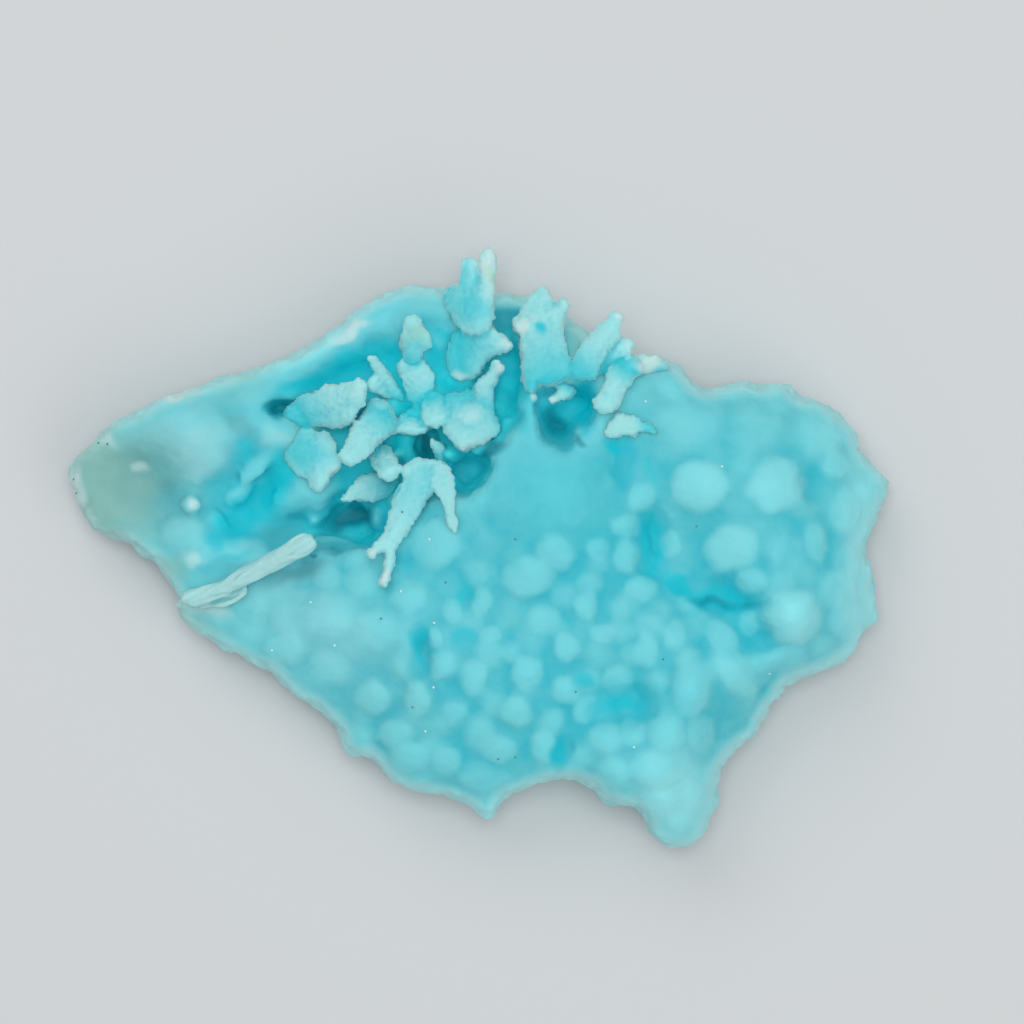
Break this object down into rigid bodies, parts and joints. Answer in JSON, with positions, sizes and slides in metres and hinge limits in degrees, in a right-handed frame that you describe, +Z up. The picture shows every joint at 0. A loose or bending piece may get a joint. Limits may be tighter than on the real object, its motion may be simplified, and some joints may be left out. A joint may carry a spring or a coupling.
{
  "type": "blue aragonite mineral specimen",
  "caption": "Blue aragonite plate with a crust of grape-like domes and a hollow of branching crystal fingers, lying on its flat-cut back.",
  "frame": {"origin": "middle of the specimen's footprint, on the flat cut that it rests on", "axes": "+X along the plate from the tail to the broad lobe, +Y across it to the edge with the upright fingers, +Z up out of the domed front"},
  "size_m": [0.1404, 0.102, 0.0331],
  "materials": {
    "blue_aragonite": "waxy, frosted, faintly translucent botryoidal crust"
  },
  "bodies": {
    "root": {"aragonite": "blue_aragonite"}
  },
  "joints": []
}
